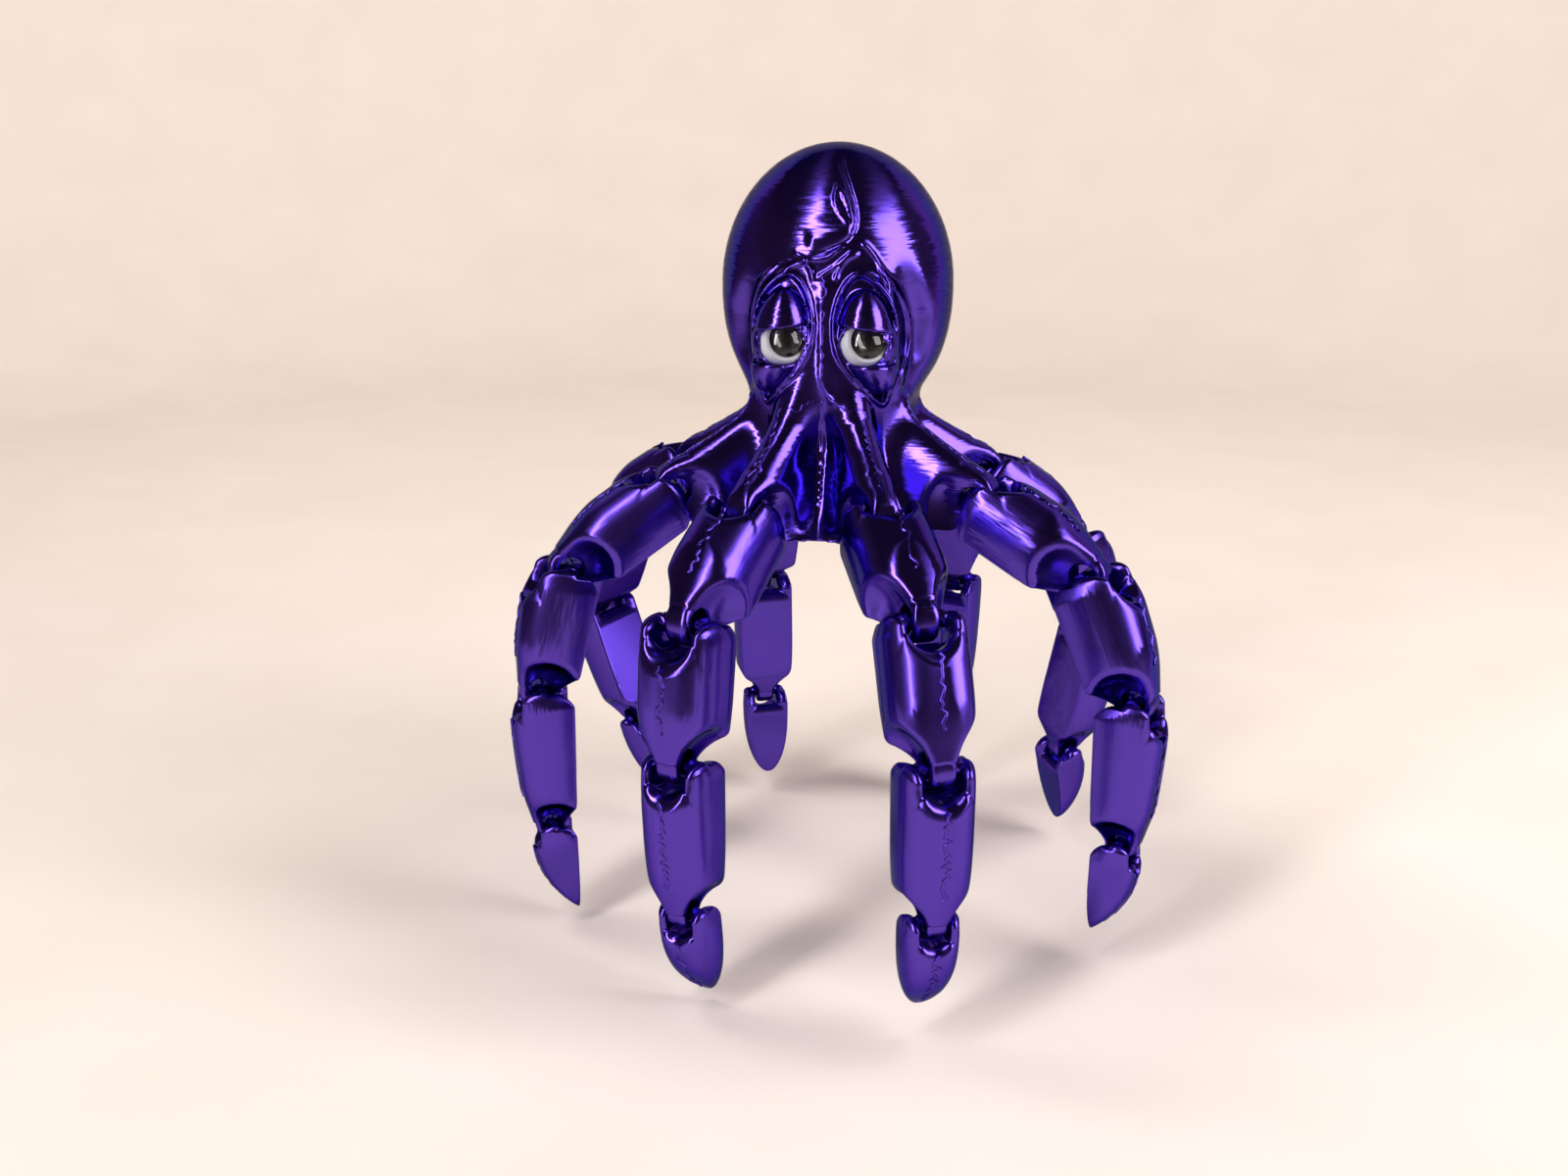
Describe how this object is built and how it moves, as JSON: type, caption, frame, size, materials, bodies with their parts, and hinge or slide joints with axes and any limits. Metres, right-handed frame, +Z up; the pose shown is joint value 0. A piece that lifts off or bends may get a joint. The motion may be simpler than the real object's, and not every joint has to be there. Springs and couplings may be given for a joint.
{
  "type": "articulated octopus toy",
  "caption": "Printed octopus toy with a round head, glued doll eyes and arms of hinged links that hang over whatever it is perched on.",
  "frame": {"origin": "centre of the body's flat underside, on the axis that the arms stand round", "axes": "+Z up through the head, the face looks to -Y, +X to the viewer's right"},
  "size_m": [0.171, 0.1715, 0.2008],
  "materials": {
    "silk_violet": "silk gloss with fine layer lines",
    "eye_white": "gloss",
    "eye_iris": "satin",
    "eye_lens": "clear gloss"
  },
  "bodies": {
    "body": {"body": "silk_violet", "eye_white_left": "eye_white", "eye_iris_left": "eye_iris", "eye_lens_left": "eye_lens", "eye_white_right": "eye_white", "eye_iris_right": "eye_iris", "eye_lens_right": "eye_lens"},
    "front_left_upper_link": {"front_left_upper_link": "silk_violet"},
    "front_left_middle_link": {"front_left_middle_link": "silk_violet"},
    "front_left_lower_link": {"front_left_lower_link": "silk_violet"},
    "front_left_tip": {"front_left_tip": "silk_violet"},
    "front_right_upper_link": {"front_right_upper_link": "silk_violet"},
    "front_right_middle_link": {"front_right_middle_link": "silk_violet"},
    "front_right_lower_link": {"front_right_lower_link": "silk_violet"},
    "front_right_tip": {"front_right_tip": "silk_violet"},
    "fore_left_upper_link": {"fore_left_upper_link": "silk_violet"},
    "fore_left_middle_link": {"fore_left_middle_link": "silk_violet"},
    "fore_left_lower_link": {"fore_left_lower_link": "silk_violet"},
    "fore_left_tip": {"fore_left_tip": "silk_violet"},
    "fore_right_upper_link": {"fore_right_upper_link": "silk_violet"},
    "fore_right_middle_link": {"fore_right_middle_link": "silk_violet"},
    "fore_right_lower_link": {"fore_right_lower_link": "silk_violet"},
    "fore_right_tip": {"fore_right_tip": "silk_violet"},
    "aft_left_upper_link": {"aft_left_upper_link": "silk_violet"},
    "aft_left_middle_link": {"aft_left_middle_link": "silk_violet"},
    "aft_left_lower_link": {"aft_left_lower_link": "silk_violet"},
    "aft_left_tip": {"aft_left_tip": "silk_violet"},
    "aft_right_upper_link": {"aft_right_upper_link": "silk_violet"},
    "aft_right_middle_link": {"aft_right_middle_link": "silk_violet"},
    "aft_right_lower_link": {"aft_right_lower_link": "silk_violet"},
    "aft_right_tip": {"aft_right_tip": "silk_violet"},
    "rear_left_upper_link": {"rear_left_upper_link": "silk_violet"},
    "rear_left_middle_link": {"rear_left_middle_link": "silk_violet"},
    "rear_left_lower_link": {"rear_left_lower_link": "silk_violet"},
    "rear_left_tip": {"rear_left_tip": "silk_violet"},
    "rear_right_upper_link": {"rear_right_upper_link": "silk_violet"},
    "rear_right_middle_link": {"rear_right_middle_link": "silk_violet"},
    "rear_right_lower_link": {"rear_right_lower_link": "silk_violet"},
    "rear_right_tip": {"rear_right_tip": "silk_violet"}
  },
  "joints": [
    {"name": "front_left_upper_hinge", "type": "hinge", "parent": "body", "child": "front_left_upper_link", "pos_m": [-0.01615, -0.03899, 0.008], "axis": [0.9304, -0.3665, 0], "range_deg": [-60, 3]},
    {"name": "front_left_middle_hinge", "type": "hinge", "parent": "front_left_upper_link", "child": "front_left_middle_link", "pos_m": [-0.02615, -0.06438, -0.0116], "axis": [0.9355, -0.3531, 0.01], "range_deg": [-76, 2]},
    {"name": "front_left_lower_hinge", "type": "hinge", "parent": "front_left_middle_link", "child": "front_left_lower_link", "pos_m": [-0.02795, -0.07007, -0.04407], "axis": [0.9362, -0.3505, 0.0272], "range_deg": [-36, 42]},
    {"name": "front_left_tip_hinge", "type": "hinge", "parent": "front_left_lower_link", "child": "front_left_tip", "pos_m": [-0.02691, -0.07024, -0.08211], "axis": [0.9359, -0.3494, 0.0447], "range_deg": [-38, 40]},
    {"name": "front_right_upper_hinge", "type": "hinge", "parent": "body", "child": "front_right_upper_link", "pos_m": [0.01615, -0.03899, 0.008], "axis": [0.9239, 0.3827, 0], "range_deg": [-52, 11]},
    {"name": "front_right_middle_hinge", "type": "hinge", "parent": "front_right_upper_link", "child": "front_right_middle_link", "pos_m": [0.02754, -0.06648, -0.00761], "axis": [0.9239, 0.3827, 0], "range_deg": [-69, 9]},
    {"name": "front_right_lower_hinge", "type": "hinge", "parent": "front_right_middle_link", "child": "front_right_lower_link", "pos_m": [0.03295, -0.07956, -0.03743], "axis": [0.9239, 0.3827, 0], "range_deg": [-52, 26]},
    {"name": "front_right_tip_hinge", "type": "hinge", "parent": "front_right_lower_link", "child": "front_right_tip", "pos_m": [0.03262, -0.07875, -0.07549], "axis": [0.9239, 0.3827, 0], "range_deg": [-34, 44]},
    {"name": "fore_left_upper_hinge", "type": "hinge", "parent": "body", "child": "fore_left_upper_link", "pos_m": [-0.03899, -0.01615, 0.008], "axis": [0.3827, -0.9239, 0], "range_deg": [-59, 4]},
    {"name": "fore_left_middle_hinge", "type": "hinge", "parent": "fore_left_upper_link", "child": "fore_left_middle_link", "pos_m": [-0.06452, -0.02672, -0.01112], "axis": [0.3827, -0.9239, 0], "range_deg": [-72, 6]},
    {"name": "fore_left_lower_hinge", "type": "hinge", "parent": "fore_left_middle_link", "child": "fore_left_lower_link", "pos_m": [-0.07261, -0.03008, -0.04295], "axis": [0.3827, -0.9239, 0], "range_deg": [-43, 35]},
    {"name": "fore_left_tip_hinge", "type": "hinge", "parent": "fore_left_lower_link", "child": "fore_left_tip", "pos_m": [-0.07119, -0.02949, -0.08098], "axis": [0.3827, -0.9239, 0], "range_deg": [-32, 46]},
    {"name": "fore_right_upper_hinge", "type": "hinge", "parent": "body", "child": "fore_right_upper_link", "pos_m": [0.03899, -0.01615, 0.008], "axis": [0.3827, 0.9239, 0], "range_deg": [-52, 11]},
    {"name": "fore_right_middle_hinge", "type": "hinge", "parent": "fore_right_upper_link", "child": "fore_right_middle_link", "pos_m": [0.06648, -0.02754, -0.00761], "axis": [0.3827, 0.9239, 0], "range_deg": [-69, 9]},
    {"name": "fore_right_lower_hinge", "type": "hinge", "parent": "fore_right_middle_link", "child": "fore_right_lower_link", "pos_m": [0.07956, -0.03295, -0.03743], "axis": [0.3827, 0.9239, 0], "range_deg": [-53, 25]},
    {"name": "fore_right_tip_hinge", "type": "hinge", "parent": "fore_right_lower_link", "child": "fore_right_tip", "pos_m": [0.07813, -0.03236, -0.07547], "axis": [0.3827, 0.9239, 0], "range_deg": [-32, 46]},
    {"name": "aft_left_upper_hinge", "type": "hinge", "parent": "body", "child": "aft_left_upper_link", "pos_m": [-0.03899, 0.01615, 0.008], "axis": [-0.4617, -0.887, 0], "range_deg": [-57, 6]},
    {"name": "aft_left_middle_hinge", "type": "hinge", "parent": "aft_left_upper_link", "child": "aft_left_middle_link", "pos_m": [-0.06407, 0.02921, -0.01014], "axis": [-0.5256, -0.8495, -0.0462], "range_deg": [-64, 9]},
    {"name": "aft_left_lower_hinge", "type": "hinge", "parent": "aft_left_middle_link", "child": "aft_left_lower_link", "pos_m": [-0.07543, 0.03785, -0.03991], "axis": [-0.5519, -0.8244, -0.1255], "range_deg": [-71, 2]},
    {"name": "aft_left_tip_hinge", "type": "hinge", "parent": "aft_left_lower_link", "child": "aft_left_tip", "pos_m": [-0.06209, 0.03433, -0.07539], "axis": [-0.5231, -0.8265, -0.2078], "range_deg": [-26, 47]},
    {"name": "aft_right_upper_hinge", "type": "hinge", "parent": "body", "child": "aft_right_upper_link", "pos_m": [0.03899, 0.01615, 0.008], "axis": [-0.4617, 0.887, 0], "range_deg": [-61, 2]},
    {"name": "aft_right_middle_hinge", "type": "hinge", "parent": "aft_right_upper_link", "child": "aft_right_middle_link", "pos_m": [0.06289, 0.02859, -0.01207], "axis": [-0.5225, 0.8511, 0.0512], "range_deg": [-60, 13]},
    {"name": "aft_right_lower_hinge", "type": "hinge", "parent": "aft_right_middle_link", "child": "aft_right_lower_link", "pos_m": [0.0742, 0.03733, -0.04183], "axis": [-0.5487, 0.8257, 0.1305], "range_deg": [-62, 11]},
    {"name": "aft_right_tip_hinge", "type": "hinge", "parent": "aft_right_lower_link", "child": "aft_right_tip", "pos_m": [0.06544, 0.03736, -0.07887], "axis": [-0.5307, 0.8197, 0.2156], "range_deg": [-4, 69]},
    {"name": "rear_left_upper_hinge", "type": "hinge", "parent": "body", "child": "rear_left_upper_link", "pos_m": [-0.01615, 0.03899, 0.008], "axis": [-0.9239, -0.3827, 0], "range_deg": [-55, 8]},
    {"name": "rear_left_middle_hinge", "type": "hinge", "parent": "rear_left_upper_link", "child": "rear_left_middle_link", "pos_m": [-0.02721, 0.06569, -0.00915], "axis": [-0.9239, -0.3827, 0], "range_deg": [-76, 2]},
    {"name": "rear_left_lower_hinge", "type": "hinge", "parent": "rear_left_middle_link", "child": "rear_left_lower_link", "pos_m": [-0.03056, 0.07378, -0.04097], "axis": [-0.9239, -0.3827, 0], "range_deg": [-47, 31]},
    {"name": "rear_left_tip_hinge", "type": "hinge", "parent": "rear_left_lower_link", "child": "rear_left_tip", "pos_m": [-0.02896, 0.06991, -0.07881], "axis": [-0.9239, -0.3827, 0], "range_deg": [-29, 49]},
    {"name": "rear_right_upper_hinge", "type": "hinge", "parent": "body", "child": "rear_right_upper_link", "pos_m": [0.01615, 0.03899, 0.008], "axis": [-0.9239, 0.3827, 0], "range_deg": [-53, 10]},
    {"name": "rear_right_middle_hinge", "type": "hinge", "parent": "rear_right_upper_link", "child": "rear_right_middle_link", "pos_m": [0.02743, 0.06622, -0.00813], "axis": [-0.9239, 0.3827, 0], "range_deg": [-76, 2]},
    {"name": "rear_right_lower_hinge", "type": "hinge", "parent": "rear_right_middle_link", "child": "rear_right_lower_link", "pos_m": [0.03121, 0.07534, -0.03963], "axis": [-0.9239, 0.3827, 0], "range_deg": [-50, 28]},
    {"name": "rear_right_tip_hinge", "type": "hinge", "parent": "rear_right_lower_link", "child": "rear_right_tip", "pos_m": [0.02935, 0.07086, -0.07738], "axis": [-0.9239, 0.3827, 0], "range_deg": [-29, 49]}
  ]
}
